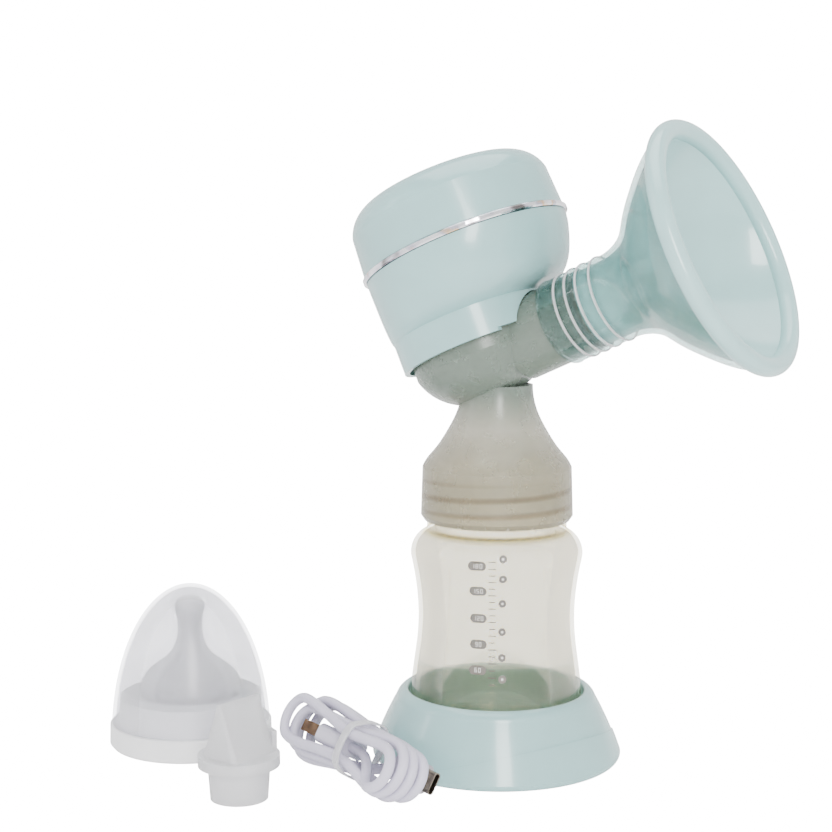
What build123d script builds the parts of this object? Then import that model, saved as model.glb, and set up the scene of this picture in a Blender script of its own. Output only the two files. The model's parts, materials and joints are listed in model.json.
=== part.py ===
from build123d import *
import math
import os

# Handheld electric breast pump standing in its base, with its loose accessories beside it.
# Millimetres. Origin: centre of the stand on the table, on the bottle's axis. +Z up, +X towards
# the breast funnel, and the pump is symmetric about the XZ plane.

# ---- driving dimensions ----
LEAN = 24.0                  # the motor head leans back, and the funnel rises, by this angle
RING_AT = (-14.5, 0, 199.5)  # centre of the chrome ring round the head
WALL = 2.0                   # moulded wall of the head and connector
GAP = 0.3                    # clearance between pieces that move apart

# stand
STAND_R = 48.9               # widest radius, just above the table
STAND_TOP_Z = 27.9
STAND_CUP_R = 34.3           # radius of the recess that holds the bottle
STAND_FLOOR_Z = 10.4         # floor of the recess
STAND_STEP = 0.5             # the slanted band round the foot stands proud by this
PAD_H = 0.8                  # the rubber pad reaches this far below the shell
PAD_R = 38.0

# bottle
BOTTLE_BOTTOM_Z = STAND_FLOOR_Z + GAP
BOTTLE_R = 33.3              # radius at the hip and at the shoulder
BOTTLE_WAIST_R = 30.4
BOTTLE_SHOULDER_Z = 89.9
BOTTLE_WALL = 1.7
NECK_R = 25.2
NECK_TOP_Z = 112.5
NECK_ROOT_R = 27.1           # clear ring at the root of the neck

# connector
COLLAR_BOTTOM_Z = 94.6
COLLAR_TOP_Z = 115.1
COLLAR_R = 29.5
COLLAR_BORE_R = 26.0
STEM_R = 9.2                 # tube that the duckbill valve is pushed on
STEM_BOTTOM_Z = 126.6
STEM_TOP_Z = 141.0
CUP_X = -9.9                 # the cup and skirt sit behind the head's axis by this
CUP_R = 27.0
CUP_MOUTH_T = -31.0          # heights T are measured along the head's axis from the ring
CUP_TURN_T = -42.5           # below here the cup's wall rounds in
CUP_DEPTH = 15.5
SPOUT_R = 15.3

# funnel, with its own heights measured along its axis from the rim's plane
FUNNEL_T = -42.5             # the funnel's axis passes this far below the chrome ring
FUNNEL_REACH = 97.0          # and its rim's centre is this far in front of the head's axis
RIM_R = 45.5
BEAD_R = 3.65
SLEEVE_END = -70.5
SPOUT_END = -57.5
HORN = [
    (46.4, -2.6), (42.6, -9.5), (36.0, -17.5), (28.2, -25.4), (21.2, -31.8), (17.7, -38.0), (16.4, -45.5),
]

# head
HEAD_R = 40.9
HEAD_REAR_X = -40.8          # the rear wall runs straight down from the ring to the skirt
RING_R = 41.9
BOWL = [(-1.3, 40.8), (-9.4, 40.0), (-16.3, 38.6), (-22.4, 36.0), (-25.4, 32.6), (-26.6, 29.0)]
BOWL_BOTTOM_T = BOWL[-1][0]
SKIRT_R = 30.7
SKIRT_BOTTOM_T = -38.3
CROWN_T = 28.0
BOARD_SCREW = 20.0           # the board's screws stand this far out, across and along
PORT_T = 8.8                 # height of the charging port in the rear wall

# controls on the crown
WINDOW = (15.0, 26.0)
WINDOW_X = 4.0
BUTTON_X = -13.5
BUTTON_R = 3.8
BUTTON_PITCH = 11.0
BUTTONS = ["button_mode", "button_level_down", "button_level_up", "button_power"]
SWITCH_TOP_T = 21.8

# motor, pump and valve in the head
MOTOR = (3.0, 2.0, -9.5)     # the motor's front face, its shaft along -Y
MOTOR_R = 12.0
MOTOR_L = 24.0
SHAFT_R = 1.05
THROW = 0.9                  # the crank pin is this far off the shaft's axis
YOKE_Y = -10.5
PUMP_X = (-21.0, -8.8)       # ends of the pump head
PISTON_R = 3.9
HOSE_AT = (-14.0, 8.0)       # the suction hose comes down here
SOLENOID = (-28.6, 0.0, -8.0)

# duckbill valve
VALVE_CUP_R = 11.5
VALVE_CUP_H = 12.5
VALVE_DISC_R = 15.0
VALVE_DISC_H = 4.0
VALVE_H = 36.5
VALVE_BILL_W = 20.2

# accessories on the table
TEAT_AT = (-114.6, -47.5)
VALVE_AT = (-55.5, -93.0)
VALVE_TURN = -7.6
COIL_AT = (-29.4, -58.5)
COIL_TURN = -25.0
COIL_LEAN = 30.0             # the tied loops lean back by this angle
COIL_Z = 14.7                # height of the coil's centre
CORD_D = 4.0
TURN_STEP = 4.3
TIE_X = 6.0
# each turn, front to back: its reach, highest and lowest line to the left of the tie,
# its highest and lowest line at the tie, and the same three to the right of it
TURNS = [
    ((-39.0, 9.2, -8.0), (3.6, -4.3), (36.3, 4.3, -10.0)),
    ((-37.0, 6.2, -9.8), (6.0, -7.0), (38.0, 8.0, -11.6)),
    ((-40.0, 11.8, -12.2), (8.0, -7.6), (38.6, 7.7, -11.5)),
    ((-38.0, 11.5, -9.8), (8.0, -6.0), (39.4, 6.8, -9.4)),
]
PLUG_A_AT = (-10.5, -0.7, -2.6)
PLUG_C_AT = (24.5, 0.2, -12.3)

lean = math.radians(LEAN)
ACROSS = Vector(math.cos(lean), 0, math.sin(lean))
UP = Vector(-math.sin(lean), 0, math.cos(lean))
HEAD = Plane(origin=RING_AT, x_dir=ACROSS, z_dir=UP)
FUNNEL = Plane(
    origin=HEAD.from_local_coords(Vector(FUNNEL_REACH, 0, FUNNEL_T)), x_dir=UP, z_dir=ACROSS
)


def half_section(*points):
    """Closed straight-sided half section in the XZ plane."""
    return make_face(Polyline(*[(r, 0, z) for r, z in points], close=True))


def turned(*points):
    return revolve(half_section(*points), Axis.Z)


def curved_section(outline):
    """Half section from a list of ("line" | "curve", points) runs, each starting where the last ended."""
    edges = []
    for kind, points in outline:
        points = [(r, 0, z) for r, z in points]
        if kind == "line":
            edges += Polyline(*points).edges()
        elif kind == "arc":
            edges.append(ThreePointArc(*points))
        else:
            edges.append(Spline(*points))
    return make_face(Wire(edges))


def disc(radius, low, high, x=0.0, y=0.0):
    return Pos(x, y, (low + high) / 2) * Cylinder(radius, high - low)


def tube(outer, inner, low, high, x=0.0, y=0.0):
    return disc(outer, low, high, x, y) - disc(inner, low - 1, high + 1, x, y)


def block(size_x, size_y, low, high, x=0.0, y=0.0, corner=0.0):
    body = Pos(x, y, (low + high) / 2) * Box(size_x, size_y, high - low)
    return fillet(body.edges().filter_by(Axis.Z), corner) if corner else body


def on_head(shape):
    return HEAD.location * shape


def on_funnel(shape):
    return FUNNEL.location * shape


# ---- stand ----
def stand_outline(inset):
    """Outside of the stand, from its foot to the lip of the recess."""
    return [
        ("arc", [(46.4 - inset, PAD_H), (48.2 - inset, 1.5), (STAND_R - inset, 3.4)]),
        ("arc", [(STAND_R - inset, 3.4), (45.2 - inset, 13.0), (39.6 - inset, 24.4)]),
        ("arc", [(39.6 - inset, 24.4), (37.6 - inset, 27.2), (35.9, STAND_TOP_Z)]),
    ]


def stand_shell():
    closing = [
        ("arc", [(35.9, STAND_TOP_Z), (34.7, 27.6), (STAND_CUP_R, 26.6)]),
        ("line", [(STAND_CUP_R, 26.6), (STAND_CUP_R, STAND_FLOOR_Z), (0, STAND_FLOOR_Z)]),
        ("line", [(0, STAND_FLOOR_Z), (0, 8.0), (36.5, 8.0), (36.5, 24.4)]),
        ("arc", [(36.5, 24.4), (42.4, 13.0), (44.6, PAD_H)]),
    ]
    upper = revolve(
        curved_section(stand_outline(STAND_STEP) + closing + [("line", [(44.6, PAD_H), (45.9, PAD_H)])]),
        Axis.Z,
    )
    full = revolve(
        curved_section(stand_outline(0) + closing + [("line", [(44.6, PAD_H), (46.4, PAD_H)])]),
        Axis.Z,
    )
    # the proud band is high in front of the pump's right side and dips below the foot behind it
    cut = Plane(origin=(0, 0, 1.1), z_dir=(-0.316, 0.115, 1))
    band = full & (cut.location * (Pos(0, 0, -60) * Box(300, 300, 120)))
    return upper + band


def stand_base_plate():
    return disc(44.1, PAD_H + 0.2, 3.0) - disc(PAD_R + 0.2, 0, 1.6)


def stand_pad():
    """Soft pad that keeps the stand from sliding, sunk into the base plate."""
    return disc(PAD_R, 0, 1.6)


# ---- bottle ----
def bottle_shell():
    r, w, t = BOTTLE_R, BOTTLE_WAIST_R, BOTTLE_WALL
    z0 = BOTTLE_BOTTOM_Z
    outside = [
        ("line", [(0, z0 + 1.2), (20, z0 + 1.2), (23, z0), (27, z0)]),
        ("arc", [(27, z0), (31.6, z0 + 2.1), (r - 0.4, z0 + 7.5)]),
        ("curve", [(r - 0.4, z0 + 7.5), (r, 27.5), (w + 0.45, 48), (w, 58.5), (w + 0.7, 68), (r, 80.5)]),
        ("arc", [(r, 80.5), (32.1, 86.4), (28.6, BOTTLE_SHOULDER_Z)]),
        (
            "line",
            [
                (28.6, BOTTLE_SHOULDER_Z),
                (NECK_ROOT_R, BOTTLE_SHOULDER_Z + 0.5),
                (NECK_ROOT_R, 94.0),
                (NECK_R, 94.3),
                (NECK_R, NECK_TOP_Z),
                (NECK_R - 2.0, NECK_TOP_Z),
                (NECK_R - 2.0, 91.0),
            ],
        ),
    ]
    inside = [
        ("arc", [(NECK_R - 2.0, 91.0), (29.6, 87.4), (r - t, 80.3)]),
        (
            "curve",
            [(r - t, 80.3), (w + 0.7 - t, 68), (w - t, 58.5), (w + 0.45 - t, 48), (r - t, 27.5),
             (r - 0.4 - t, z0 + 7.5)],
        ),
        ("arc", [(r - 0.4 - t, z0 + 7.5), (30.0, z0 + 3.6), (26.2, z0 + 2.2)]),
        ("line", [(26.2, z0 + 2.2), (21.4, z0 + 2.2), (19, z0 + 3.0), (0, z0 + 3.0)]),
        ("line", [(0, z0 + 3.0), (0, z0 + 1.2)]),
    ]
    return revolve(curved_section(outside + inside), Axis.Z)


# ---- connector: collar, neck, diaphragm cup and spout in one moulding ----
def cup(radius, depth, mouth):
    """Solid cup shape about the head's vertical, rounded below."""
    low = CUP_TURN_T - depth
    flat = radius * 0.05
    section = curved_section(
        [
            ("line", [(flat, low), (0, low), (0, mouth), (radius, mouth), (radius, CUP_TURN_T)]),
            ("arc", [(radius, CUP_TURN_T), (radius * 0.76, CUP_TURN_T - depth * 0.66), (flat, low)]),
        ]
    )
    return Pos(CUP_X, 0, 0) * revolve(section, Axis.Z)


def collar_and_neck():
    section = curved_section(
        [
            (
                "line",
                [
                    (0, 147.0),
                    (0, COLLAR_BOTTOM_Z),
                    (COLLAR_R - 1.3, COLLAR_BOTTOM_Z),
                    (COLLAR_R, COLLAR_BOTTOM_Z + 1.9),
                    (COLLAR_R - 0.6, COLLAR_TOP_Z),
                ],
            ),
            (
                "curve",
                [(COLLAR_R - 0.6, COLLAR_TOP_Z), (27.3, 118.0), (24.0, 122.0), (19.5, 128.8), (15.9, 135.8),
                 (14.2, 141.5), (13.7, 147.0)],
            ),
            ("line", [(13.7, 147.0), (0, 147.0)]),
        ]
    )
    return revolve(section, Axis.Z)


def collar_and_neck_hollow():
    low = COLLAR_BOTTOM_Z - 1
    section = curved_section(
        [
            ("line", [(0, 142.0), (0, low), (COLLAR_BORE_R, low)]),
            ("line", [(COLLAR_BORE_R, low), (COLLAR_BORE_R, 114.4), (22.9, 114.4), (22.9, 121)]),
            ("curve", [(22.9, 121.0), (17.5, 128.8), (13.9, 135.8), (12.2, 142.0)]),
            ("line", [(12.2, 142.0), (0, 142.0)]),
        ]
    )
    return revolve(section, Axis.Z)


def spout_bore():
    """Milk passage through the spout, kept below the cup's mouth until it is clear of the cup."""
    bore = on_funnel(disc(SPOUT_R - WALL, -FUNNEL_REACH + 4, SPOUT_END + 1))
    roof = Pos(CUP_X + CUP_R - 10, 0, CUP_MOUTH_T + 8) * Box(28, 60, 20)
    return bore - on_head(roof)


def connector_body():
    shell = collar_and_neck() - collar_and_neck_hollow()
    shell += on_head(cup(CUP_R, CUP_DEPTH, CUP_MOUTH_T))
    start = -FUNNEL_REACH + 8
    spout = disc(SPOUT_R, start, SLEEVE_END - GAP) + disc(SPOUT_R - 0.4, start, SPOUT_END)
    shell += on_funnel(spout) - on_head(disc(CUP_R + 0.8, CUP_MOUTH_T, 0, CUP_X))
    shell += disc(STEM_R, STEM_BOTTOM_Z, STEM_TOP_Z + 3)
    shell -= on_head(cup(CUP_R - WALL - 1.4, CUP_DEPTH - WALL, -20))
    shell -= on_head(disc(CUP_R - WALL, CUP_MOUTH_T - 1.8, -20, CUP_X))
    shell -= spout_bore()
    return shell - disc(STEM_R - WALL, STEM_BOTTOM_Z - 1, 152)


def bottle_seal():
    return tube(25.7, 22.9, 112.7, 114.3)


def diaphragm():
    """Soft cup that keeps milk out of the motor: a clamped rim and a hanging membrane."""
    lip = CUP_MOUTH_T - 1.7
    section = curved_section(
        [
            ("line", [(20.7, lip - 8.2), (22.2, lip), (24.8, lip), (24.8, lip + 1.8), (21.2, lip + 1.8),
                      (19.4, lip - 8.2)]),
            ("arc", [(19.4, lip - 8.2), (17.6, lip - 10.6), (14.6, lip - 11.4)]),
            ("line", [(14.6, lip - 11.4), (0, lip - 11.4), (0, lip - 12.6), (14.8, lip - 12.6)]),
            ("arc", [(14.8, lip - 12.6), (18.6, lip - 11.4), (20.7, lip - 8.2)]),
        ]
    )
    return on_head(Pos(CUP_X, 0, 0) * revolve(section, Axis.Z))


# ---- duckbill valve, standing on its cup with the bill up ----
def duckbill():
    top = VALVE_CUP_H + VALVE_DISC_H
    body = turned(
        (0, 0), (VALVE_CUP_R - 0.9, 0), (VALVE_CUP_R, VALVE_CUP_H), (VALVE_DISC_R, VALVE_CUP_H),
        (VALVE_DISC_R, top), (0, top),
    )
    body += loft([valve_slice(top, 17.0, 21.5, 2.0), valve_slice(VALVE_H, 1.6, VALVE_BILL_W, 0.7)])
    hollow = disc(STEM_R + 0.05, -1, VALVE_CUP_H - 1.5) + disc(6.5, VALVE_CUP_H - 2, top + 0.5)
    bill = [valve_slice(top, 12.6, 17.1, 1.4), valve_slice(VALVE_H - 2.2, 0.7, VALVE_BILL_W - 3.2, 0.3)]
    hollow += loft(bill)
    tab = Rot(0, 0, 66) * (Pos(12.9, 0, top + 3.5) * Box(1.8, 6.0, 8.0))
    return body - hollow + tab


def valve_slice(height, thick, wide, corner):
    return Plane(origin=(0, 0, height)) * RectangleRounded(thick, wide, corner)


def duckbill_valve():
    upside_down = Rot(180, 0, 0) * duckbill()
    return Pos(0, 0, STEM_BOTTOM_Z + VALVE_CUP_H - 1.6) * (Rot(0, 0, 90) * upside_down)


def spare_valve():
    return Pos(VALVE_AT[0], VALVE_AT[1], 0) * (Rot(0, 0, VALVE_TURN) * duckbill())


# ---- breast funnel: a hard horn and the soft liner inside it ----
def horn_line(inset):
    """The horn's curve moved inwards."""
    return [(r - inset, t + inset * 0.55) for r, t in HORN]


def flange_horn():
    inner = horn_line(1.8)
    bore = SPOUT_R + 0.03
    throat = inner[-1][0]
    section = curved_section(
        [
            ("curve", HORN),
            ("line", [HORN[-1], (16.4, SLEEVE_END + 2), (16.7, SLEEVE_END + 1), (16.4, SLEEVE_END),
                      (bore, SLEEVE_END), (bore, -56.5), (throat, -56.5), inner[-1]]),
            ("curve", inner[::-1]),
            ("line", [inner[0], HORN[0]]),
        ]
    )
    return on_funnel(revolve(section, Axis.Z))


def flange_liner():
    outer = horn_line(1.85)
    inner = horn_line(3.6)
    skin = curved_section(
        [
            ("curve", outer),
            ("line", [outer[-1], (outer[-1][0], -54.6), (inner[-1][0], -54.6), inner[-1]]),
            ("curve", inner[::-1]),
            ("line", [inner[0], outer[0]]),
        ]
    )
    bead = Pos(RIM_R, 0, 0) * (Rot(90, 0, 0) * Circle(BEAD_R))
    soft = revolve(skin, Axis.Z) + revolve(bead, Axis.Z)
    return on_funnel(soft) - flange_horn()


# ---- motor head ----
def bowl(inset):
    """Solid bowl under the ring: round slices that keep the rear wall straight."""
    slices = [Pos(r + HEAD_REAR_X, 0, t) * Circle(r - inset) for t, r in reversed(BOWL)]
    return loft(slices)


def screw_places():
    return [(BOARD_SCREW * x, BOARD_SCREW * y) for x in (-1, 1) for y in (-1, 1)]


def lower_housing():
    floor = BOWL_BOTTOM_T + WALL
    shell = bowl(0) - (bowl(WALL) - block(200, 200, BOWL_BOTTOM_T - 5, floor))
    shell += tube(SKIRT_R, SKIRT_R - WALL, SKIRT_BOTTOM_T, floor - 0.5, CUP_X)
    # way out for the spout, the step in the skirt's lower edge, and the hole for the suction spigot
    shell -= Pos(25, 0, FUNNEL_T) * (Rot(0, 90, 0) * Cylinder(SPOUT_R + 0.5, 46))
    shell -= Pos(42, 0, SKIRT_BOTTOM_T) * Box(60, 80, 2.4)
    shell -= disc(2.4, -30, -20, *HOSE_AT)
    for x, y in screw_places():
        foot = -23.0 if x > 0 else floor - 1
        shell += tube(3.0, 1.0, foot, 3.4, x, y)
    return on_head(shell)


def chrome_ring():
    section = [
        (HEAD_R - 2.2, -1.1), (RING_R - 0.5, -1.1), (RING_R, -0.6),
        (RING_R, 0.6), (RING_R - 0.5, 1.1), (HEAD_R - 2.2, 1.1),
    ]
    return on_head(turned(*section))


def cover_solid(inset):
    edge_r = HEAD_R - 0.9 - inset
    brow = (27.4 - inset * 0.3, CROWN_T - 0.7 - inset)
    section = curved_section(
        [
            ("line", [(0, CROWN_T - inset), (0, 1.3), (HEAD_R - inset, 1.3), (edge_r, 17.2)]),
            ("arc", [(edge_r, 17.2), (36.6 - inset * 0.75, 23.4 - inset * 0.75), brow]),
            ("arc", [brow, (25.0, CROWN_T - 0.17 - inset), (22.0, CROWN_T - inset)]),
            ("line", [(22.0, CROWN_T - inset), (0, CROWN_T - inset)]),
        ]
    )
    return revolve(section, Axis.Z)


def port_shape(wide, high, deep):
    """Stadium-shaped bar lying along the head's X, wide along Y."""
    return Rot(0, 90, 0) * (Rot(0, 0, 90) * extrude(SlotOverall(wide, high), deep / 2, both=True))


def button_places():
    return [(BUTTON_X, (i - 1.5) * BUTTON_PITCH) for i in range(len(BUTTONS))]


def top_cover():
    shell = cover_solid(0) - cover_solid(WALL) - disc(HEAD_R - WALL, 0, 2.5)
    shell -= block(WINDOW[0] + 0.1, WINDOW[1] + 0.1, 26.6, 30, WINDOW_X, 0, 3.0)
    shell -= block(WINDOW[0] - 3, WINDOW[1] - 3, 20, 30, WINDOW_X, 0, 2.0)
    for x, y in button_places():
        shell -= disc(BUTTON_R + GAP, 20, 30, x, y)
    shell -= Pos(-HEAD_R, 0, PORT_T) * port_shape(9.8, 3.9, 8)
    return on_head(shell)


def button(x, y):
    head = disc(BUTTON_R, 24.6, CROWN_T + 0.5)
    head = fillet(head.edges().group_by(Axis.Z)[-1], 0.4)
    head += disc(BUTTON_R + 0.8, 23.6, 24.8) + disc(1.2, SWITCH_TOP_T + 0.7, 23.7)
    return on_head(Pos(x, y, 0) * head)


def display_window():
    return on_head(block(WINDOW[0], WINDOW[1], 26.65, CROWN_T, WINDOW_X, 0, 2.9))


def display_board():
    board = disc(23.0, 19.8, 21.0)
    board += block(WINDOW[0] - 4, WINDOW[1] - 4, 20.9, 25.6, WINDOW_X)
    for x, y in button_places():
        board += block(4.2, 4.2, 20.9, SWITCH_TOP_T, x, y)
    for side in (-1, 1):
        board += block(2.4, 9.0, 7.6, 20.0, 17.5 * side)
    return on_head(board)


def main_board():
    board = disc(34.0, 3.5, 4.7)
    for x, y in screw_places():
        board -= disc(1.6, 3, 5, x, y)
    board += block(7, 7, 4.6, 5.8, 10, -27) + block(9, 6, 4.6, 6.2, -4, 28)
    board += block(9.4, 9.6, 4.6, 7.0, -29.0)
    for side in (-1, 1):
        board += block(3.2, 9.8, 4.6, 7.5, 17.5 * side)
    return on_head(board)


def board_screws():
    screw = disc(2.6, 4.75, 6.2) + disc(0.95, -4, 4.8)
    return on_head(Compound([Pos(x, y, 0) * screw for x, y in screw_places()]))


def battery():
    return on_head(block(28.0, 42.0, 8.2, 17.0, corner=3.0))


def usb_c_socket():
    shell = port_shape(9.0, 3.2, 7.4) - Pos(-1.2, 0, 0) * port_shape(8.4, 2.6, 7.4)
    tongue = Pos(-0.2, 0, 0) * Box(6.6, 6.7, 0.7)
    return on_head(Pos(-35.2, 0, PORT_T) * (shell + tongue))


def along_y(shape):
    """Lay a Z-axis shape along +Y from the motor's front face."""
    return Pos(*MOTOR) * (Rot(-90, 0, 0) * shape)


def motor_can():
    can = disc(MOTOR_R, 0, MOTOR_L) + disc(4.0, -1.6, 0.1)
    return on_head(along_y(can - disc(SHAFT_R + 0.05, -3, MOTOR_L - 0.8)))


def motor_shaft():
    return on_head(along_y(disc(SHAFT_R, -11.5, MOTOR_L - 1)))


def crank():
    hub = disc(4.4, -10.6, -3.0) + disc(2.4, -14.2, -10.5, THROW)
    return on_head(along_y(hub - disc(SHAFT_R, -11.5, -2)))


def in_pump(shape):
    """Lay a Z-axis shape along the head's X on the pump's own axis."""
    return Pos(0, YOKE_Y, MOTOR[2]) * (Rot(0, 90, 0) * shape)


def pump_cage():
    cage = block(23, 23, -22.5, -1.9, corner=4.0) - disc(8.6, -21.0, -1)
    return on_head(along_y(cage) - in_pump(disc(2.2, -11, -3)))


def pump_piston():
    """Yoke round the crank pin, with the rod and piston that it drives."""
    yoke = along_y(tube(6.4, 4.4, -14.0, -11.0))
    rod = disc(1.5, -15.0, MOTOR[0] - 5.4) + disc(PISTON_R, -16.0, -13.0)
    return on_head(yoke + in_pump(rod))


def pump_head():
    low, high = PUMP_X
    body = Pos((low + high) / 2, YOKE_Y, MOTOR[2]) * Box(high - low, 12, 13)
    bore = in_pump(disc(PISTON_R + 0.08, -18.0, high + 1))
    nozzle = Pos(HOSE_AT[0], -1.9, MOTOR[2]) * (Rot(90, 0, 0) * (Cylinder(1.6, 5.4) - Cylinder(0.9, 7)))
    return on_head(body - bore + nozzle)


def suction_plate():
    plate = disc(24.2, CUP_MOUTH_T + GAP, BOWL_BOTTOM_T - 0.1, CUP_X)
    plate += disc(1.6, -27.0, -17.5, *HOSE_AT)
    return on_head(plate - disc(0.9, -40, 0, *HOSE_AT))


def head_seal():
    return on_head(tube(26.6, 24.3, CUP_MOUTH_T + GAP, BOWL_BOTTOM_T - 0.1, CUP_X))


def suction_hose():
    """Short silicone hose from the pump's nozzle down to the suction plate."""
    path = FilletPolyline(
        (HOSE_AT[0], -3.2, MOTOR[2]),
        (*HOSE_AT, MOTOR[2]),
        (*HOSE_AT, -24.2),
        radius=5.0,
    )
    ends = Plane(path @ 0, z_dir=path % 0)
    return on_head(sweep(ends * Circle(2.4), path) - sweep(ends * Circle(1.6), path))


def release_valve_coil():
    frame = block(12, 12, -9, 9, corner=1.0) - disc(2.6, -20, 7.5)
    return on_head(Pos(*SOLENOID) * (Rot(-90, 0, 0) * frame))


def release_valve_plunger():
    plunger = disc(2.5, -12.0, 3.0) + disc(3.6, -12.6, -11.0)
    return on_head(Pos(*SOLENOID) * (Rot(-90, 0, 0) * plunger))


# ---- teat, its screw ring and its travel cap ----
def at_teat(shape):
    return Pos(TEAT_AT[0], TEAT_AT[1], 0) * shape


def teat_ring():
    return at_teat(
        turned(
            (26.2, 0), (28.1, 0), (28.1, 6.8), (30.2, 6.8), (30.2, 0), (31.6, 0), (32.6, 1.2), (32.4, 8.4),
            (31.8, 9.0), (28.9, 9.0), (28.1, 19.6), (20.4, 20.2), (20.4, 17.6), (26.2, 17.2),
        )
    )


def teat():
    outside = [(20.2, 21.0), (19.6, 25.5), (15.0, 31.0), (8.2, 36.5), (5.3, 43.0), (5.1, 50.0), (6.0, 55.0)]
    inside = [(4.0, 55.0), (3.2, 50.0), (3.5, 42.6), (6.6, 35.2), (13.8, 29.2), (17.8, 24.4), (18.2, 21.0)]
    section = curved_section(
        [
            ("curve", outside),
            ("arc", [(6.0, 55.0), (4.6, 58.4), (0.8, 59.6)]),
            ("line", [(0.8, 59.6), (0, 59.6), (0, 57.8), (0.6, 57.8)]),
            ("arc", [(0.6, 57.8), (3.1, 57.0), (4.0, 55.0)]),
            ("curve", inside),
            ("line", [(18.2, 21.0), (18.2, 15.4), (25.8, 15.4), (25.8, 17.0), (20.2, 17.0), (20.2, 21.0)]),
        ]
    )
    return at_teat(revolve(section, Axis.Z))


def dome(radius, height):
    """Quarter ellipse that starts just above the ring's shoulder and ends near the top."""
    return [
        (radius * math.cos(math.radians(a)), 2.1 + (height - 2.1) * math.sin(math.radians(a)))
        for a in (6.8, 20, 35, 50, 64, 76, 84)
    ]


def teat_cap():
    outer = dome(31.9, 64.5)
    inner = dome(30.4, 63.0)
    section = curved_section(
        [
            ("curve", outer),
            ("arc", [outer[-1], (2.0, 64.4), (0.6, 64.5)]),
            ("line", [(0.6, 64.5), (0, 64.5), (0, 63.0), (0.6, 63.0)]),
            ("arc", [(0.6, 63.0), (1.9, 62.9), inner[-1]]),
            ("curve", inner[::-1]),
            ("line", [inner[0], outer[0]]),
        ]
    )
    return at_teat(revolve(section, Axis.Z))


# ---- tied charging cable ----
def in_coil(shape):
    """Place a shape from the coil's plane: X along the bundle, Y up its slope, Z out of it to the front."""
    lean = math.radians(COIL_LEAN)
    plane = Plane(origin=(0, 0, COIL_Z), x_dir=(1, 0, 0), z_dir=(0, -math.cos(lean), math.sin(lean)))
    return Pos(COIL_AT[0], COIL_AT[1], 0) * (Rot(0, 0, COIL_TURN) * (plane.location * shape))


def turn_point(turn, angle, grow):
    """Point of one turn, pinched at the tie and moved outwards by grow."""
    left, tie, right = TURNS[turn]
    reach, high, low = right if math.cos(angle) > 0 else left
    side = abs(math.cos(angle))
    rise = math.sin(angle)
    lobe = min(1.0, side / 0.7)
    lobe *= lobe * (3 - 2 * lobe)
    high = tie[0] + (high - tie[0]) * lobe + grow
    low = tie[1] + (low - tie[1]) * lobe - grow
    x = TIE_X + (reach + grow * math.copysign(1, reach) - TIE_X) * side
    return x, (high + low) / 2 + (high - low) / 2 * math.copysign(abs(rise) ** 0.7, rise)


def turn_solid(turn, grow, thick):
    """Filled outline of one turn, as thick as the given strand."""
    points = [turn_point(turn, math.radians(a), grow) for a in range(0, 360, 10)]
    middle = TURN_STEP * (1.5 - turn)
    return Pos(0, 0, middle) * extrude(Polygon(*points, align=None), thick / 2, both=True)


def cable_hank():
    """Outer shape of the tied turns, each a flat band as thick as the cord."""
    thick = TURN_STEP - 0.1
    turns = range(len(TURNS))
    bands = [turn_solid(t, CORD_D / 2, thick) - turn_solid(t, -CORD_D / 2, 2 * thick) for t in turns]
    return Compound([in_coil(band) for band in bands])


def tie_outline():
    """Hull round the turns where the tie holds them: Y up the slope, against Z out of the coil."""
    return Polygon(
        (8.9, -6.7), (8.9, 6.0), (4.6, 8.5), (0.4, 10.5), (-8.9, 10.5),
        (-8.9, -8.4), (-4.6, -10.0), (0.4, -10.0), (4.6, -9.5),
        align=None,
    )


def cable_tie():
    across = Plane(origin=(TIE_X, 0, 0), x_dir=(0, 0, 1), z_dir=(-1, 0, 0))
    face = tie_outline()
    band = offset(face, 1.0, kind=Kind.INTERSECTION) - face
    return in_coil(across.location * (extrude(band, 1.8, both=True)))


def usb_a_grip(extra):
    return Pos(*PLUG_A_AT) * Box(16 + extra, 7.6 + extra, 13.6 + extra)


def usb_a_plug():
    grip = fillet(usb_a_grip(0).edges().filter_by(Axis.X), 2.4)
    shell = Box(12.0, 4.5, 12.0) - Pos(-2.1, -0.9, 0) * Box(12, 1.9, 11.2)
    return in_coil(grip + Pos(PLUG_A_AT[0] - 13.9, PLUG_A_AT[1], PLUG_A_AT[2]) * shell)


def usb_c_plug():
    grip = fillet(Box(16, 11, 6.4).edges().filter_by(Axis.X), 2.4)
    stadium = Rot(0, 90, 0) * extrude(Rot(0, 0, 90) * SlotOverall(8.3, 2.6), 3.5, both=True)
    mouth = Rot(0, 90, 0) * extrude(Rot(0, 0, 90) * SlotOverall(7.5, 1.8), 3.5, both=True)
    tip = Pos(11.4, 0, 0) * (stadium - Pos(1.2, 0, 0) * mouth)
    return in_coil(Pos(*PLUG_C_AT) * (grip + tip))


SINGLE = [
    stand_shell, stand_base_plate, stand_pad,
    bottle_shell, connector_body, bottle_seal, diaphragm, duckbill_valve,
    flange_horn, flange_liner,
    lower_housing, top_cover, chrome_ring, display_window, display_board, main_board, board_screws, battery,
    usb_c_socket, motor_can, motor_shaft, crank, pump_cage, pump_piston, pump_head, suction_plate,
    head_seal, suction_hose, release_valve_coil, release_valve_plunger,
    teat_ring, teat, teat_cap, spare_valve,
    cable_hank, cable_tie, usb_a_plug, usb_c_plug,
]


os.makedirs("parts", exist_ok=True)
for make in SINGLE:
    export_step(make(), f"parts/{make.__name__}.step")
for name, (x, y) in zip(BUTTONS, button_places()):
    export_step(button(x, y), f"parts/{name}.step")
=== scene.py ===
"""Electric breast pump in its stand, with its teat, spare valve and tied cable.

Metres, in the CAD's own frame. The numbers for the cable, its tie, the bottle's scale and
thread and the sleeve's rings are in millimetres.
"""
import json
import math

import bpy
from mathutils import Matrix, Vector
from mathutils.bvhtree import BVHTree


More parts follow.
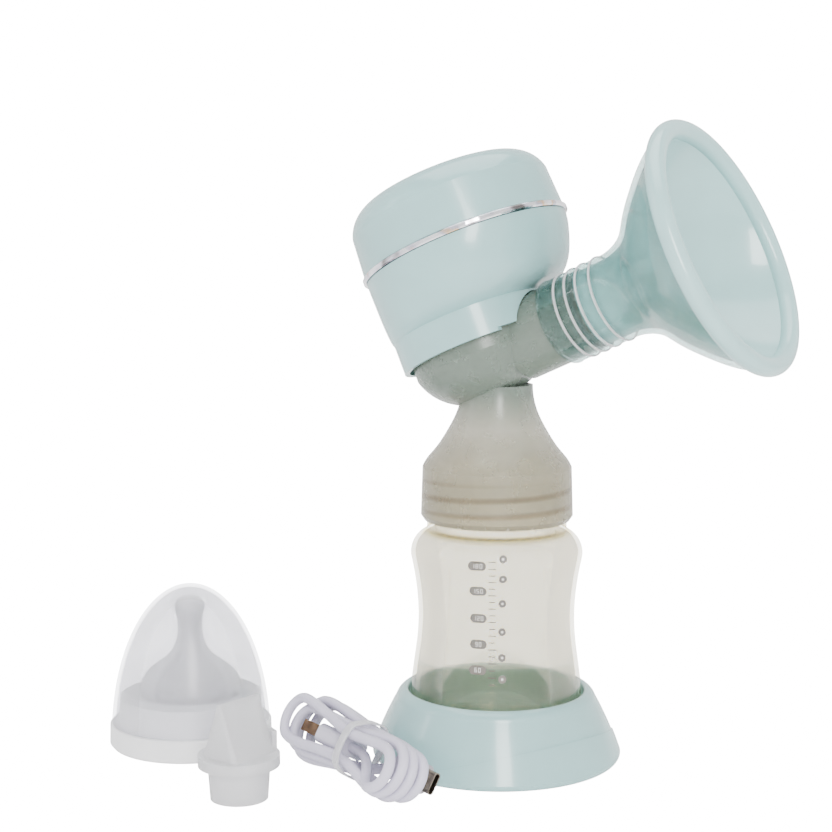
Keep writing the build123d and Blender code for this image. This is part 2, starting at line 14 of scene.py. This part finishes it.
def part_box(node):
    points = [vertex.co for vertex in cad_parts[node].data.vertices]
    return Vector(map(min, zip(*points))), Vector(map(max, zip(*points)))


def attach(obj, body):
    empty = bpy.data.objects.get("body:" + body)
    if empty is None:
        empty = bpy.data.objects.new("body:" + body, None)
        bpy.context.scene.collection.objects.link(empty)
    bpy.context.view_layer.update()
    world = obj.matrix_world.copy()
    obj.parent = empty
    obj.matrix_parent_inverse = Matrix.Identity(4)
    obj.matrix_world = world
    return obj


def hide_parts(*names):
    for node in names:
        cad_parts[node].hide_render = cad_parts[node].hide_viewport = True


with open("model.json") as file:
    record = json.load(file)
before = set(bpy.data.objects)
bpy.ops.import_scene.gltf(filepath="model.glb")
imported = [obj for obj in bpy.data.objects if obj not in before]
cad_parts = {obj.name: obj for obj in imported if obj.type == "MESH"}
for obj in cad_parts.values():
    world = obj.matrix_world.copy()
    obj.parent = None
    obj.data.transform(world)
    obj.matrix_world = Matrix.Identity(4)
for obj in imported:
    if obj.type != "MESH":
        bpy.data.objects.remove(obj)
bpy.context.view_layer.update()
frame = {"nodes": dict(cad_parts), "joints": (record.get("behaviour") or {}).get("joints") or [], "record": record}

MM = 0.001
NODES = frame["nodes"]
UP = Vector((0, 0, 1))
SIDE = Vector((0, 1, 0))


# ---- places worked out from the frame ----
def body_centre(node):
    """Centre of a CAD node's box, in metres."""
    low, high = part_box(node)
    return (low + high) / 2


def joint_axis(name):
    """Unit axis of a joint of the record."""
    for joint in frame["joints"]:
        if joint["name"] == name:
            return Vector(joint["axis"]).normalized()
    raise KeyError(name)


HEAD_UP = joint_axis("head_lift_off")
ACROSS = joint_axis("funnel_pull_off")
# the funnel's axis passes here: below the chrome ring and out to the side
FUNNEL_POINT = body_centre("chrome_ring") - HEAD_UP * (42.5 * MM) + ACROSS * (97.0 * MM)

# the coil's leaning plane: X along it, Y up its slope, Z out to the front
COIL_CENTRE = Vector((-29.4, -58.5, 14.7)) * MM
COIL_TURN = math.radians(-25.0)
COIL_LEAN = math.radians(60.0)
COIL = (
    Matrix.Translation(COIL_CENTRE)
    @ Matrix.Rotation(COIL_TURN, 4, "Z")
    @ Matrix.Rotation(COIL_LEAN, 4, "X")
)
COIL_X = (COIL.to_3x3() @ Vector((1, 0, 0))).normalized()


def in_coil(point):
    """A point of the coil's plane, in metres in the CAD frame."""
    return COIL @ (Vector(point) * MM)


# ---- camera ----
CAMERA_PLACE = (0.31416, -0.57221, 0.20889)
CAMERA_TARGET = (-0.02675, -0.01641, 0.13457)
CAMERA_LENS = 73.56
SENSOR_WIDTH = 36.0


def link(name, data):
    """A new object of some data, in the scene."""
    obj = bpy.data.objects.new(name, data)
    bpy.context.scene.collection.objects.link(obj)
    return obj


def place_and_aim(obj, place, target):
    obj.location = place
    obj.rotation_euler = (Vector(target) - Vector(place)).to_track_quat("-Z", "Y").to_euler()


def make_camera():
    data = bpy.data.cameras.new("camera")
    data.lens = CAMERA_LENS
    data.sensor_width = SENSOR_WIDTH
    camera = link("camera", data)
    place_and_aim(camera, CAMERA_PLACE, CAMERA_TARGET)
    bpy.context.scene.camera = camera


make_camera()


# ---- small mesh helpers ----
def mesh_object(name, vertices, faces, smooth=True):
    mesh = bpy.data.meshes.new(name)
    mesh.from_pydata([tuple(v) for v in vertices], [], faces)
    mesh.validate()
    if smooth:
        mesh.shade_smooth()
    return link(name, mesh)


def swept(centres, frames, section, closed):
    """Vertices and faces of a closed section swept along centres.

    Each frame is the pair of axes that the section lies in at its centre.
    """
    count = len(section)
    vertices = []
    for centre, (a, b) in zip(centres, frames):
        vertices += [centre + a * x + b * y for x, y in section]
    faces = []
    rings = len(centres)
    for i in range(rings if closed else rings - 1):
        j = (i + 1) % rings
        for k in range(count):
            m = (k + 1) % count
            faces.append((i * count + k, i * count + m, j * count + m, j * count + k))
    if not closed:
        faces.append(tuple(reversed(range(count))))
        faces.append(tuple(range((rings - 1) * count, rings * count)))
    return vertices, faces


def joined(name, shapes, smooth=False):
    """One object of many pairs of vertices and faces."""
    vertices, faces = [], []
    for more, their_faces in shapes:
        base = len(vertices)
        vertices += more
        faces += [tuple(base + i for i in face) for face in their_faces]
    return mesh_object(name, vertices, faces, smooth)


def rounded_section(width, height, corner, steps=3):
    """Rounded rectangle in metres, as points in order."""
    points = []
    for sx, sy, start in ((1, 1, 0), (-1, 1, 90), (-1, -1, 180), (1, -1, 270)):
        for i in range(steps + 1):
            a = math.radians(start + 90 * i / steps)
            points.append((
                sx * (width / 2 - corner) + corner * math.cos(a),
                sy * (height / 2 - corner) + corner * math.sin(a),
            ))
    return points


def surface_of(node):
    """Search tree of a CAD node's faces."""
    wall = NODES[node]
    return BVHTree.FromPolygons(
        [wall.matrix_world @ v.co for v in wall.data.vertices],
        [tuple(f.vertices) for f in wall.data.polygons],
    )


def smoothstep(share):
    return share * share * (3 - 2 * share)


# ---- the tied charging cable ----
CORD_D = 4.0 * MM
TURN_STEP = 4.3        # from one turn to the next, front to back
POINTS_A_TURN = 20
TIE_X = 6.0
STRAIGHT = 0.4         # share of a quarter turn that runs straight, next to the tie
LEFT_HALF = (0.25, 0.75)   # part of a turn that lies left of the tie
SLIP = (0.6, 0.35)     # where a turn starts to move on to the next one, and for how long
# each turn, front to back: its reach, highest and lowest line to the left of the tie,
# its highest and lowest line at the tie, and the same three to the right of it
TURNS = [
    ((-39.0, 9.2, -8.0), (3.6, -4.3), (36.3, 5.0, -11.0)),
    ((-37.0, 6.8, -9.8), (6.0, -7.0), (38.0, 8.0, -11.6)),
    ((-40.0, 11.8, -12.2), (8.0, -7.6), (38.6, 7.7, -11.5)),
    ((-38.0, 11.5, -9.8), (8.0, -6.0), (39.4, 6.8, -9.4)),
]
FIRST_TURN, LAST_TURN = -0.14, 3.66
PLUG_A_END = (-2.5, -0.7, -2.6)
PLUG_C_END = (16.5, 0.2, -12.3)
# from the USB-A plug inside the coil to its right end, and from its back to the USB-C plug
WAY_IN = [PLUG_A_END, (4.0, -0.7, -2.4), (11.0, -2.0, -1.0), (17.0, -5.5, 1.2), (23.0, -9.6, 4.0)]
WAY_OUT = [(2.0, -6.0, -6.6), (8.5, -4.6, -8.0), (12.5, -1.6, -11.2), PLUG_C_END]


def blend_turns(place):
    """The three lines of a turn part of the way between two turns."""
    index = min(int(place), len(TURNS) - 1)
    after = min(index + 1, len(TURNS) - 1)
    share = place - index
    pairs = zip(TURNS[index], TURNS[after])
    return [[a + (b - a) * share for a, b in zip(one, other)] for one, other in pairs]


def turn_point(turns):
    """Point of the coil after so many turns, which start at its right end and first go up."""
    whole = math.floor(turns)
    phase = turns - whole
    slip = smoothstep(min(1.0, max(0.0, (phase - SLIP[0]) / SLIP[1])))
    place = min(max(whole + slip, 0.0), len(TURNS) - 1.0)
    left, tie, right = blend_turns(place)
    reach, high, low = left if LEFT_HALF[0] < phase < LEFT_HALF[1] else right
    from_tie = 1 - math.asin(min(1.0, abs(math.sin(2 * math.pi * phase)))) / (math.pi / 2)
    radius, middle = (high - low) / 2, (high + low) / 2
    up = phase < 0.5
    side = math.copysign(1.0, reach)
    straight_end = reach - side * radius
    if from_tie < STRAIGHT:
        share = from_tie / STRAIGHT
        held = tie[0] if up else tie[1]
        x = TIE_X + (straight_end - TIE_X) * share
        y = held + ((high if up else low) - held) * smoothstep(share)
    else:
        bend = (from_tie - STRAIGHT) / (1 - STRAIGHT) * math.pi / 2
        x = straight_end + side * radius * math.sin(bend)
        y = middle + (radius if up else -radius) * math.cos(bend)
    return x, y, TURN_STEP * (1.5 - place)


def cord_points():
    """Control points of the whole cord, from one plug to the other."""
    count = round((LAST_TURN - FIRST_TURN) * POINTS_A_TURN)
    step = (LAST_TURN - FIRST_TURN) / count
    return WAY_IN + [turn_point(FIRST_TURN + step * i) for i in range(count + 1)] + WAY_OUT


def make_cord():
    points = cord_points()
    curve = bpy.data.curves.new("charging_cord", "CURVE")
    curve.dimensions = "3D"
    curve.resolution_u = 6
    curve.bevel_depth = CORD_D / 2
    curve.bevel_resolution = 4
    spline = curve.splines.new("NURBS")
    spline.points.add(len(points) - 1)
    for control, point in zip(spline.points, points):
        control.co = (*in_coil(point), 1.0)
    spline.order_u = 3
    spline.use_endpoint_u = True
    return link("charging_cord", curve)


def curve_length(obj):
    """Length of a curve object's centreline."""
    bare = obj.data.copy()
    bare.bevel_depth = 0
    line = bpy.data.objects.new("measure", bare)
    mesh = bpy.data.meshes.new_from_object(line)
    places = [v.co for v in mesh.vertices]
    total = sum((places[e.vertices[0]] - places[e.vertices[1]]).length for e in mesh.edges)
    bpy.data.objects.remove(line)
    return total


cord = make_cord()
CORD_LENGTH = curve_length(cord)


# ---- material helpers ----
def nodes_of(name):
    material = bpy.data.materials.new(name)
    material.use_nodes = True
    tree = material.node_tree
    return material, tree, tree.nodes["Principled BSDF"]


def object_place(tree):
    """Socket with a surface point's place in its object."""
    return tree.nodes.new("ShaderNodeTexCoord").outputs["Object"]


def noise(tree, scale, detail=3.0, roughness=0.5):
    texture = tree.nodes.new("ShaderNodeTexNoise")
    texture.inputs["Scale"].default_value = scale
    texture.inputs["Detail"].default_value = detail
    texture.inputs["Roughness"].default_value = roughness
    tree.links.new(object_place(tree), texture.inputs["Vector"])
    return texture.outputs["Fac"]


def ramp(tree, source, stops):
    """Colours at places from 0 to 1 of a value; the first and last stop come with the node."""
    node = tree.nodes.new("ShaderNodeValToRGB")
    for element, (position, colour) in zip(node.color_ramp.elements, (stops[0], stops[-1])):
        element.position = position
        element.color = (*colour, 1)
    for position, colour in stops[1:-1]:
        node.color_ramp.elements.new(position).color = (*colour, 1)
    tree.links.new(source, node.inputs["Fac"])
    return node.outputs["Color"]


def spread(tree, source, low, high):
    """A value from 0 to 1, spread from low to high."""
    node = tree.nodes.new("ShaderNodeMapRange")
    node.inputs["To Min"].default_value = low
    node.inputs["To Max"].default_value = high
    tree.links.new(source, node.inputs["Value"])
    return node.outputs["Result"]


def mixed(tree, factor, first, second):
    """Colour that goes from the first to the second with a factor."""
    mix = tree.nodes.new("ShaderNodeMix")
    mix.data_type = "RGBA"
    tree.links.new(factor, mix.inputs["Factor"])
    tree.links.new(first, mix.inputs["A"])
    tree.links.new(second, mix.inputs["B"])
    return mix.outputs["Result"]


def math_node(tree, operation, first, second):
    """One arithmetic step; each side is a socket or a number."""
    node = tree.nodes.new("ShaderNodeMath")
    node.operation = operation
    for socket, value in zip(node.inputs, (first, second)):
        if isinstance(value, (int, float)):
            socket.default_value = value
        else:
            tree.links.new(value, socket)
    return node.outputs["Value"]


def place_share(tree, axis, start, end):
    """0 to 1 as a surface point's place along an axis of the CAD frame goes from start to end."""
    dot = tree.nodes.new("ShaderNodeVectorMath")
    dot.operation = "DOT_PRODUCT"
    dot.inputs[1].default_value = axis
    tree.links.new(object_place(tree), dot.inputs[0])
    share = tree.nodes.new("ShaderNodeMapRange")
    share.interpolation_type = "SMOOTHSTEP"
    share.inputs["From Min"].default_value = start
    share.inputs["From Max"].default_value = end
    tree.links.new(dot.outputs["Value"], share.inputs["Value"])
    return share.outputs["Result"]


def shade(colour, factor):
    return tuple(min(1.0, c * factor) for c in colour)


# ---- materials ----
MOTTLE_SCALE = 60.0
GLOSS_SCALE = 140.0
GRAIN_DEPTH = 0.0002


def plastic(name, colour, rough, grain=900.0, bump=0.015, vary=0.03, **settings):
    """Moulded plastic or silicone: faint mottling, uneven gloss and a fine moulded grain."""
    material, tree, shader = nodes_of(name)
    mottle = [(0.3, shade(colour, 1 - vary)), (0.7, shade(colour, 1 + vary))]
    tree.links.new(ramp(tree, noise(tree, MOTTLE_SCALE), mottle), shader.inputs["Base Color"])
    gloss = spread(tree, noise(tree, GLOSS_SCALE, 4.0), rough * 0.85, rough * 1.2)
    tree.links.new(gloss, shader.inputs["Roughness"])
    relief = tree.nodes.new("ShaderNodeBump")
    relief.inputs["Strength"].default_value = bump
    relief.inputs["Distance"].default_value = GRAIN_DEPTH
    tree.links.new(noise(tree, grain, 2.0), relief.inputs["Height"])
    tree.links.new(relief.outputs["Normal"], shader.inputs["Normal"])
    for key, value in settings.items():
        socket = key.replace("_", " ").title().replace("Ior", "IOR")
        shader.inputs[socket].default_value = value
    return material


def clear(name, colour, rough, through, **settings):
    """Clear plastic that lets the light behind it through."""
    material = plastic(
        name, colour, rough, bump=0.004, vary=0.004, transmission_weight=1.0, **settings
    )
    tree = material.node_tree
    open_glass = tree.nodes.new("ShaderNodeBsdfTransparent")
    open_glass.inputs["Color"].default_value = (*colour, 1)
    mix = tree.nodes.new("ShaderNodeMixShader")
    mix.inputs["Fac"].default_value = 1 - through
    tree.links.new(open_glass.outputs["BSDF"], mix.inputs[1])
    tree.links.new(tree.nodes["Principled BSDF"].outputs["BSDF"], mix.inputs[2])
    tree.links.new(mix.outputs["Shader"], tree.nodes["Material Output"].inputs["Surface"])
    return material


BOTTLE_TINT = (0.965, 0.945, 0.875)
SHOULDER = (0.080, 0.102)      # heights between which the bottle's shoulder turns into its neck


def bottle(name):
    """Clear, faintly amber bottle, with a darker gold line where its shoulder meets the neck."""
    material = clear(name, BOTTLE_TINT, 0.03, 0.4, ior=1.45)
    tree = material.node_tree
    tone = ramp(tree, place_share(tree, UP, *SHOULDER), [
        (0.36, BOTTLE_TINT), (0.44, (0.78, 0.72, 0.50)),
        (0.50, (0.62, 0.54, 0.30)), (0.56, (0.96, 0.93, 0.83)),
    ])
    tree.links.new(tone, tree.nodes["Principled BSDF"].inputs["Base Color"])
    tree.links.new(tone, tree.nodes["Transparent BSDF"].inputs["Color"])
    return material


THREAD_PITCH = 6.2 * MM
THREAD_START = (0.0975, 0.0995)    # heights over which the bands come in at the collar's foot
THREAD_END = (0.1125, 0.1095)      # and go out again below its top
COLLAR_TO_CUP = (0.108, 0.154)


def thread_bands(tree):
    """1 where the bottle's thread shows through the collar, as slanting bands round it."""
    split = tree.nodes.new("ShaderNodeSeparateXYZ")
    tree.links.new(object_place(tree), split.inputs["Vector"])
    turn = math_node(tree, "ARCTAN2", split.outputs["Y"], split.outputs["X"])
    height = math_node(tree, "MULTIPLY", split.outputs["Z"], 2 * math.pi / THREAD_PITCH)
    wave = math_node(tree, "SINE", math_node(tree, "SUBTRACT", height, turn), 0.0)
    ends = [place_share(tree, UP, *heights) for heights in (THREAD_START, THREAD_END)]
    crest = math_node(tree, "MAXIMUM", wave, 0.0)
    return math_node(tree, "MULTIPLY", crest, math_node(tree, "MULTIPLY", *ends))


def milky(name):
    """Polypropylene: warm at the collar, paler up the neck, greyer at the cup where mint shows."""
    material = plastic(name, (0.9, 0.88, 0.80), 0.26, transmission_weight=0.5, ior=1.45)
    tree = material.node_tree
    tone = ramp(tree, place_share(tree, UP, *COLLAR_TO_CUP), [
        (0.0, (0.44, 0.40, 0.28)), (0.12, (0.52, 0.48, 0.36)),
        (0.5, (0.66, 0.63, 0.53)), (0.9, (0.25, 0.31, 0.26)),
    ])
    band = ramp(tree, noise(tree, 90.0), [(0.3, (0.24, 0.19, 0.11)), (0.7, (0.32, 0.26, 0.16))])
    colour = mixed(tree, thread_bands(tree), tone, band)
    tree.links.new(colour, tree.nodes["Principled BSDF"].inputs["Base Color"])
    return material


def chrome_with_painted_reflections(name):
    """Mirror plating with painted reflections: its colour breaks into lilac, white, brown and black stretches
    along the ring.
    """
    material = plastic(name, (0.8, 0.8, 0.82), 0.06, grain=2600, bump=0.01, metallic=1.0)
    tree = material.node_tree
    # painted reflections: dark, lilac, white and brown stretches in the metal's colour stand in for what the ring
    # mirrors
    tone = ramp(tree, noise(tree, 85.0, 2.0), [
        (0.30, (0.20, 0.18, 0.18)), (0.40, (0.80, 0.78, 0.86)), (0.52, (0.95, 0.95, 0.97)),
        (0.60, (0.62, 0.60, 0.70)), (0.66, (0.75, 0.52, 0.30)), (0.75, (0.9, 0.9, 0.92)),
    ])
    tree.links.new(tone, tree.nodes["Principled BSDF"].inputs["Base Color"])
    return material


def plug(name, along, split, metal):
    """A plug's moulded grip, and its metal end beyond a plane across the plug."""
    material = plastic(name, (0.62, 0.60, 0.70), 0.4, grain=1500, bump=0.05)
    tree = material.node_tree
    colour = tree.nodes["Principled BSDF"].inputs["Base Color"]
    share = place_share(tree, along, split - 0.1 * MM, split + 0.1 * MM)
    worn = ramp(tree, noise(tree, 180.0), [(0.35, shade(metal, 0.6)), (0.65, shade(metal, 1.3))])
    tree.links.new(mixed(tree, share, colour.links[0].from_socket, worn), colour)
    tree.links.new(share, tree.nodes["Principled BSDF"].inputs["Metallic"])
    return material


MINT = (0.31, 0.52, 0.525)
MATERIALS = {
    "mint_plastic": plastic("mint_plastic", MINT, 0.22, coat_weight=0.35, coat_roughness=0.08),
    "milky_plastic": milky("milky_plastic"),
    "bottle_clear": bottle("bottle_clear"),
    "mint_silicone": plastic(
        "mint_silicone", (0.37, 0.60, 0.60), 0.24, coat_weight=0.5, coat_roughness=0.06
    ),
    "clear_silicone": plastic(
        "clear_silicone", (0.92, 0.92, 0.94), 0.38, transmission_weight=0.6, ior=1.42
    ),
    "frosted_plastic": clear("frosted_plastic", (0.97, 0.97, 0.99), 0.2, 0.5, ior=1.4),
    "white_plastic": plastic("white_plastic", (0.86, 0.86, 0.875), 0.30),
    "ring_chrome": chrome_with_painted_reflections("ring_chrome"),
    "dark_window": plastic("dark_window", (0.012, 0.016, 0.018), 0.06, coat_weight=1.0),
    "board_green": plastic("board_green", (0.02, 0.16, 0.07), 0.45, grain=700, bump=0.1),
    "steel": plastic("steel", (0.56, 0.56, 0.58), 0.28, grain=1800, bump=0.03, metallic=1.0),
    "battery_wrap": plastic("battery_wrap", (0.05, 0.11, 0.30), 0.35),
    "coil_copper": plastic(
        "coil_copper", (0.55, 0.26, 0.12), 0.3, grain=2200, bump=0.2, metallic=1.0
    ),
    "cable_jacket": plastic("cable_jacket", (0.60, 0.575, 0.70), 0.42, grain=1500, bump=0.05),
    "foot_rubber": plastic("foot_rubber", (0.50, 0.54, 0.54), 0.6, grain=1400, bump=0.12),
}
A_SPLIT = COIL_X.dot(in_coil((-18.5, 0, 0)))   # where each plug's grip ends, along the coil
C_SPLIT = COIL_X.dot(in_coil((32.5, 0, 0)))


def paint(obj, material):
    obj.data.materials.clear()
    obj.data.materials.append(material)


for part in frame["record"]["subparts"]:
    paint(NODES[part["node"]], MATERIALS[part["material_slot"]])
paint(NODES["flange_horn"], clear("horn_clear", (0.76, 0.88, 0.87), 0.1, 0.3, ior=1.45))
paint(NODES["usb_a_plug"], plug("usb_a_plastic", -COIL_X, -A_SPLIT, (0.17, 0.105, 0.06)))
paint(NODES["usb_c_plug"], plug("usb_c_plastic", COIL_X, C_SPLIT, (0.24, 0.21, 0.17)))


# ---- bottle scale: pills with numbers, ticks and dots, wrapped on the wall ----
BOTTLE_WALL = surface_of("bottle_shell")
BOTTLE_RADIUS = 32.0           # about, to turn distances along the wall into angles
INK_LIFT, NUMBER_LIFT = 0.06, 0.1
PILL_AZIMUTH, TICK_AZIMUTH, DOT_AZIMUTH = -73.8, -64.0, -57.0
PILL_HEIGHTS = (42.3, 51.9, 61.8, 72.4, 82.2)
DOT_HEIGHTS = (39.1, 47.1, 56.8, 67.7, 77.3, 84.9)
FIRST_NUMBER, NUMBER_STEP = 60, 30
DIGIT_SIZE, DIGIT_STEP = 1.7, 1.45
TICKS, TICK_START, TICK_STEP = 19, 37.0, 2.6
TICK_WIDTHS = (2.4, 3.0)       # even and odd ticks
SEGMENTS = {
    "top": (0, 1), "mid": (0, 0), "low": (0, -1),
    "tl": (-1, 0.5), "tr": (1, 0.5), "bl": (-1, -0.5), "br": (1, -0.5),
}
DIGITS = {
    "0": "top low tl tr bl br", "1": "tr br", "2": "top tr mid bl low", "5": "top tl mid br low",
    "6": "top tl mid bl br low", "8": "top mid low tl tr bl br", "9": "top mid low tl tr br",
}


def on_bottle(azimuth, across, height, lift):
    """Point just outside the bottle's wall, so far along it from an azimuth's line."""
    angle = math.radians(azimuth) + across / BOTTLE_RADIUS
    outward = Vector((math.cos(angle), math.sin(angle), 0))
    start = outward * (60 * MM) + UP * (height * MM)
    hit = BOTTLE_WALL.ray_cast(start, -outward)[0]
    return hit + outward * (lift * MM)


def wrapped_disc(half_wide, half_high, azimuth, height, lift, count=24):
    """A small flat pill or dot: a ring of points round a centre."""
    reach = max(half_wide - half_high, 0)
    radius = min(half_wide, half_high)
    vertices = [on_bottle(azimuth, 0, height, lift)]
    for i in range(count):
        a = 2 * math.pi * i / count
        x = radius * math.cos(a) + math.copysign(reach, math.cos(a))
        vertices.append(on_bottle(azimuth, x, height + radius * math.sin(a), lift))
    return vertices, [(0, 1 + i, 1 + (i + 1) % count) for i in range(count)]


def wrapped_bar(wide, high, azimuth, across, height, lift):
    """A small flat bar."""
    corners = [(-1, -1), (1, -1), (1, 1), (-1, 1)]
    vertices = [
        on_bottle(azimuth, across + x * wide / 2, height + y * high / 2, lift) for x, y in corners
    ]
    return vertices, [(0, 1, 2, 3)]


def digit(figure, across, height):
    """A number's figure out of short strokes, on a pill."""
    long, thick = DIGIT_SIZE * 0.5, DIGIT_SIZE * 0.13
    bars = []
    for name in DIGITS[figure].split():
        x, y = SEGMENTS[name]
        wide, high = (long, thick) if x == 0 else (thick, long)
        bars.append(wrapped_bar(
            wide, high, PILL_AZIMUTH, across + x * DIGIT_SIZE * 0.22,
            height + y * DIGIT_SIZE * 0.43, NUMBER_LIFT,
        ))
    return bars


def make_scale():
    """The bottle's printed scale: numbered pills, a ladder of ticks and a column of dots."""
    ink, pale = [], []
    for step, height in enumerate(PILL_HEIGHTS):
        ink.append(wrapped_disc(3.35, 1.75, PILL_AZIMUTH, height, INK_LIFT))
        number = str(FIRST_NUMBER + NUMBER_STEP * step)
        for place, figure in enumerate(number):
            pale += digit(figure, (place - (len(number) - 1) / 2) * DIGIT_STEP, height)
    for i in range(TICKS):
        height = TICK_START + TICK_STEP * i
        ink.append(wrapped_bar(TICK_WIDTHS[i % 2], 0.36, TICK_AZIMUTH, 0, height, INK_LIFT))
    for height in DOT_HEIGHTS:
        ink.append(wrapped_disc(1.5, 1.5, DOT_AZIMUTH, height, INK_LIFT))
        pale.append(wrapped_disc(0.45, 0.45, DOT_AZIMUTH, height, NUMBER_LIFT))
    scale_ink = plastic("scale_ink", (0.17, 0.155, 0.135), 0.45)
    number_ink = plastic("scale_numbers", (0.75, 0.74, 0.70), 0.45)
    for name, shapes, material in (
        ("bottle_scale", ink, scale_ink),
        ("bottle_numbers", pale, number_ink),
    ):
        piece = joined(name, shapes)
        paint(piece, material)
        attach(piece, "bottle")


# ---- the bottle's thread and the funnel's grip rings ----
THREAD_STEPS = 96
THREAD_TURNS = 1.9
THREAD_FROM = math.radians(-150)
THREAD_RADIUS = 25.25
THREAD_FOOT, THREAD_RISE = 99.0, 9.5
RING_REACHES = (-47.0, -53.0, -57.8, -62.6)    # along the funnel's axis
RING_SECTION = [(0.0, -0.55), (0.42, -0.3), (0.5, 0.0), (0.42, 0.3), (0.0, 0.55)]
RING_POINTS = 64
RING_LIFT = 0.05


def make_thread():
    """The bottle's screw thread, seen through the milky collar."""
    centres, frames = [], []
    for i in range(THREAD_STEPS):
        share = i / (THREAD_STEPS - 1)
        angle = THREAD_FROM + 2 * math.pi * THREAD_TURNS * share
        outward = Vector((math.cos(angle), math.sin(angle), 0))
        height = THREAD_FOOT + THREAD_RISE * share
        centres.append(outward * (THREAD_RADIUS * MM) + UP * (height * MM))
        frames.append((outward, UP))
    section = rounded_section(1.0 * MM, 1.5 * MM, 0.45 * MM)
    thread = mesh_object("bottle_thread", *swept(centres, frames, section, closed=False))
    paint(thread, plastic("thread_amber", (0.50, 0.42, 0.30), 0.3))
    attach(thread, "bottle")


def make_sleeve_rings():
    """Raised grip rings round the funnel's sleeve."""
    sleeve = surface_of("flange_horn")
    section = [(out * MM, along * MM) for out, along in RING_SECTION]
    angles = [2 * math.pi * i / RING_POINTS for i in range(RING_POINTS)]
    outwards = [HEAD_UP * math.cos(a) + SIDE * math.sin(a) for a in angles]
    shapes = []
    for reach in RING_REACHES:
        middle = FUNNEL_POINT + ACROSS * (reach * MM)
        wall = sleeve.ray_cast(middle + HEAD_UP * (60 * MM), -HEAD_UP)[0]
        radius = (wall - middle).length + RING_LIFT * MM
        centres = [middle + outward * radius for outward in outwards]
        frames = [(outward, ACROSS) for outward in outwards]
        shapes.append(swept(centres, frames, section, closed=True))
    rings = joined("sleeve_rings", shapes, smooth=True)
    paint(rings, MATERIALS["clear_silicone"])
    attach(rings, "funnel")


make_scale()
make_thread()
make_sleeve_rings()


# ---- the coil's tie, and what the cord is ----
# the band's outline round the turns, each point out to the front and up the slope
TIE_HULL = [
    (9.4, -6.9), (9.4, 6.3), (4.8, 9.0), (0.4, 11.1), (-9.5, 11.1),
    (-9.5, -8.9), (-4.8, -10.7), (0.4, -10.7), (4.9, -10.1),
]
TIE_SWAY = 0.7     # how far the band wanders along the coil


def soften(outline, rounds):
    """Cut the corners of a closed outline again and again until it runs smoothly."""
    for _ in range(rounds):
        cut = []
        for (ax, ay), (bx, by) in zip(outline, outline[1:] + outline[:1]):
            cut.append((0.75 * ax + 0.25 * bx, 0.75 * ay + 0.25 * by))
            cut.append((0.25 * ax + 0.75 * bx, 0.25 * ay + 0.75 * by))
        outline = cut
    return outline


def make_tie():
    """Flat rubber band round the coil, drawn tight over the turns."""
    path = soften(TIE_HULL, 3)
    turn = COIL.to_3x3()
    count = len(path)
    centres, frames = [], []
    for i, (out, up) in enumerate(path):
        along = (Vector(path[(i + 1) % count]) - Vector(path[i - 1])).normalized()
        sway = TIE_SWAY * math.sin(2 * math.pi * i / count + 1.0)
        centres.append(in_coil((TIE_X + sway, up, out)))
        frames.append((turn @ Vector((1, 0, 0)), turn @ Vector((0, along.x, -along.y))))
    section = rounded_section(3.8 * MM, 1.0 * MM, 0.48 * MM)
    return mesh_object("tie_band", *swept(centres, frames, section, closed=True))


tie = make_tie()
paint(cord, MATERIALS["cable_jacket"])
paint(tie, MATERIALS["clear_silicone"])
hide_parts("cable_hank")
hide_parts("cable_tie")
for piece in (cord, tie):
    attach(piece, "charging_cable")


# ---- stage: floor, world and lights ----
FLOOR_RINGS = [(0.0, 0.0), (1.6, 0.0), (1.9, 0.06), (2.1, 0.25), (2.2, 0.6), (2.25, 2.5)]
FLOOR_SIDES = 48
FLOOR_GLOW = 16.0      # how white the floor looks
FLOOR_LIGHT = 0.32     # and how much light it throws back on the object
WORLD_STRENGTH = 0.36
LIGHT_AIM = (-0.02, 0, 0.12)
# name, place, width and height, watts, colour
AREA_LIGHTS = [
    ("top_softbox", (-0.1, 0.1, 1.5), (1.4, 1.4), 26.0, (1, 1, 1)),
    ("front_softbox", (0.75, -1.0, 0.62), (0.30, 0.75), 17.0, (1.0, 0.99, 0.97)),
    ("left_strip", (-1.0, -0.7, 0.6), (0.12, 0.7), 1.4, (0.94, 0.97, 1.0)),
]


def make_floor():
    """White floor that curves up into a backdrop on every side."""
    vertices = []
    for radius, height in FLOOR_RINGS:
        for i in range(FLOOR_SIDES):
            a = 2 * math.pi * i / FLOOR_SIDES
            vertices.append(Vector((radius * math.cos(a), radius * math.sin(a), height)))
    faces = []
    for r in range(len(FLOOR_RINGS) - 1):
        for i in range(FLOOR_SIDES):
            near, far, after = r * FLOOR_SIDES, (r + 1) * FLOOR_SIDES, (i + 1) % FLOOR_SIDES
            faces.append((near + i, near + after, far + after, far + i))
    floor = mesh_object("floor", vertices, faces)
    material, tree, shader = nodes_of("floor_white")
    shader.inputs["Base Color"].default_value = (0.9, 0.9, 0.9, 1)
    shader.inputs["Roughness"].default_value = 0.9
    shader.inputs["Emission Color"].default_value = (1, 1, 1, 1)
    seen = tree.nodes.new("ShaderNodeLightPath").outputs["Is Camera Ray"]
    glow = spread(tree, seen, FLOOR_LIGHT, FLOOR_GLOW)
    tree.links.new(glow, shader.inputs["Emission Strength"])
    paint(floor, material)


def make_world():
    world = bpy.data.worlds.new("studio")
    bpy.context.scene.world = world
    world.use_nodes = True
    background = world.node_tree.nodes["Background"]
    background.inputs["Color"].default_value = (1, 1, 1, 1)
    background.inputs["Strength"].default_value = WORLD_STRENGTH


def make_light(name, place, size, watts, colour):
    data = bpy.data.lights.new(name, "AREA")
    data.shape = "RECTANGLE"
    data.size, data.size_y = size
    data.energy = watts
    data.color = colour
    place_and_aim(link(name, data), place, LIGHT_AIM)


make_floor()
make_world()
for light in AREA_LIGHTS:
    make_light(*light)
